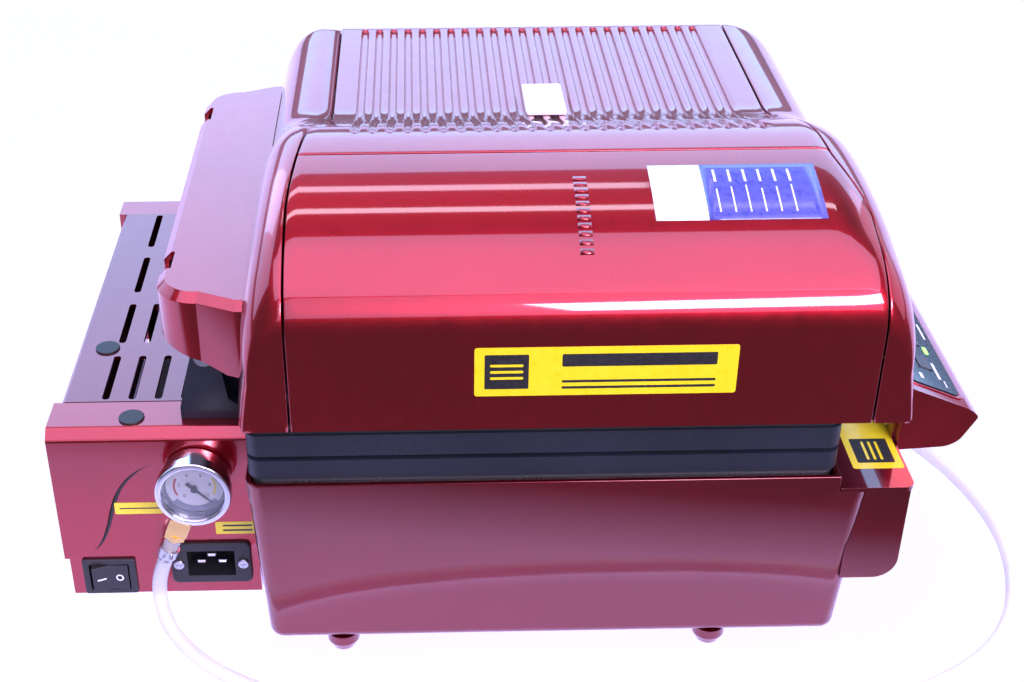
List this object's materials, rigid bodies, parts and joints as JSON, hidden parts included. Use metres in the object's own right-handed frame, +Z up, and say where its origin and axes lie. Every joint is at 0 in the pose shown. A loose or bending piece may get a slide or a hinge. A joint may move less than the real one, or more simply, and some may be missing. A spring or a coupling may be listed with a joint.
{
  "type": "vacuum heat press",
  "caption": "Table-top vacuum heat press with a deep tub, a membrane frame, a domed ribbed hood on rear hinges, a rear pump box and a front control console.",
  "frame": {"origin": "on the table under the middle of the machine's box, hose left out", "axes": "+X the machine's right, -Y its front with the console, +Z up"},
  "size_m": [0.4661, 0.615, 0.2913],
  "materials": {
    "wine_steel": "metallic wine-red stove paint, glossy",
    "wine_moulding": "metallic wine-red lacquer over a moulding, high gloss",
    "black_steel": "black powder coat, satin",
    "black_plastic": "black moulded plastic, fine grain",
    "black_gloss": "black glossy overlay",
    "rubber_black": "black rubber",
    "silicone_sheet": "red-brown silicone sheet, matt",
    "silicone_hose": "translucent white silicone tube",
    "brass": "turned brass",
    "nickel": "nickel plated",
    "zinc_steel": "zinc plated steel",
    "aluminium": "bright aluminium sheet",
    "gauge_white": "white enamel dial with printed arcs",
    "clear_pane": "clear pane",
    "smoked_pane": "smoked display window",
    "quartz": "quartz tube with ceramic ends",
    "ceramic": "ceramic holder rail",
    "board_green": "circuit board with parts",
    "pump_grey": "grey painted casting",
    "yellow_film": "yellow film",
    "white_plate": "white name plate, bare",
    "key_grey": "dark key cap"
  },
  "bodies": {
    "base": {"tub": "wine_steel", "chamber_liner": "aluminium", "support_posts": "zinc_steel", "platen": "aluminium", "tub_gasket": "rubber_black", "ledge_plate": "wine_steel", "front_block": "wine_steel", "tub_feet": "wine_steel", "rear_tray": "zinc_steel", "vent_cover": "wine_steel", "left_end_cap": "wine_moulding", "right_end_cap": "wine_moulding", "hole_plugs": "black_plastic", "rear_feet": "rubber_black", "inlet_housing": "black_plastic", "inlet_pins": "nickel", "case_screws": "zinc_steel", "switch_bezel": "black_plastic", "gauge_case": "nickel", "gauge_bezel": "nickel", "gauge_dial": "gauge_white", "gauge_glass": "clear_pane", "hose_fittings": "brass", "hose_cuffs": "silicone_hose", "hose_clamps": "zinc_steel", "vacuum_hose": "silicone_hose", "vacuum_pump": "pump_grey", "pump_tube": "silicone_hose", "circuit_boards": "board_green", "fan_frame": "black_plastic", "console_housing": "wine_moulding", "console_overlay": "black_gloss", "display_window": "smoked_pane", "hinge_brackets": "black_steel", "hinge_pins": "zinc_steel"},
    "membrane_frame": {"lower_band": "black_steel", "upper_band": "black_steel", "membrane": "silicone_sheet", "frame_screws": "zinc_steel", "membrane_arms": "black_steel"},
    "hood": {"hood_front_rail": "wine_moulding", "hood_rear_rail": "wine_moulding", "hood_bulge_panel": "wine_moulding", "hood_ribbed_panel": "wine_moulding", "hood_frame": "black_steel", "hood_seal": "rubber_black", "reflector": "aluminium", "heating_tubes": "quartz", "tube_holders": "ceramic", "hood_arms": "black_steel", "fairing": "wine_moulding", "badge_plate": "white_plate"},
    "switch_rocker_body": {"switch_rocker": "black_plastic"},
    "gauge_pointer_body": {"gauge_pointer": "black_steel"},
    "fan_rotor_body": {"fan_rotor": "black_plastic"},
    "key_1_body": {"key_1": "key_grey"},
    "key_2_body": {"key_2": "key_grey"},
    "key_3_body": {"key_3": "key_grey"},
    "key_4_body": {"key_4": "key_grey"},
    "key_5_body": {"key_5": "key_grey"}
  },
  "joints": [
    {"name": "hood_hinge", "type": "hinge", "parent": "base", "child": "hood", "pos_m": [0, 0.179, 0.185], "axis": [-1, 0, 0], "range_deg": [0, 65]},
    {"name": "membrane_hinge", "type": "hinge", "parent": "base", "child": "membrane_frame", "pos_m": [0, 0.179, 0.185], "axis": [-1, 0, 0], "range_deg": [0, 32.5]},
    {"name": "power_rocker", "type": "hinge", "parent": "base", "child": "switch_rocker_body", "pos_m": [-0.1525, 0.249, 0.0315], "axis": [0, 0, 1], "range_deg": [-18, 0]},
    {"name": "gauge_needle", "type": "hinge", "parent": "base", "child": "gauge_pointer_body", "pos_m": [-0.17, 0.188, 0.11], "axis": [-1, 0, 0], "range_deg": [0, 270]},
    {"name": "fan_spin", "type": "hinge", "parent": "base", "child": "fan_rotor_body", "pos_m": [0.108, 0.219, 0.059], "axis": [1, 0, 0], "continuous": true},
    {"name": "key_1_press", "type": "slide", "parent": "base", "child": "key_1_body", "axis": [0, 0.3846, -0.9231], "range_m": [0, 0.0008], "stiffness_N_per_m": 900},
    {"name": "key_2_press", "type": "slide", "parent": "base", "child": "key_2_body", "axis": [0, 0.3846, -0.9231], "range_m": [0, 0.0008], "stiffness_N_per_m": 900},
    {"name": "key_3_press", "type": "slide", "parent": "base", "child": "key_3_body", "axis": [0, 0.3846, -0.9231], "range_m": [0, 0.0008], "stiffness_N_per_m": 900},
    {"name": "key_4_press", "type": "slide", "parent": "base", "child": "key_4_body", "axis": [0, 0.3846, -0.9231], "range_m": [0, 0.0008], "stiffness_N_per_m": 900},
    {"name": "key_5_press", "type": "slide", "parent": "base", "child": "key_5_body", "axis": [0, 0.3846, -0.9231], "range_m": [0, 0.0008], "stiffness_N_per_m": 900}
  ],
  "couplings": [
    {"joint": "membrane_hinge", "follows": "hood_hinge", "ratio": 0.5}
  ]
}
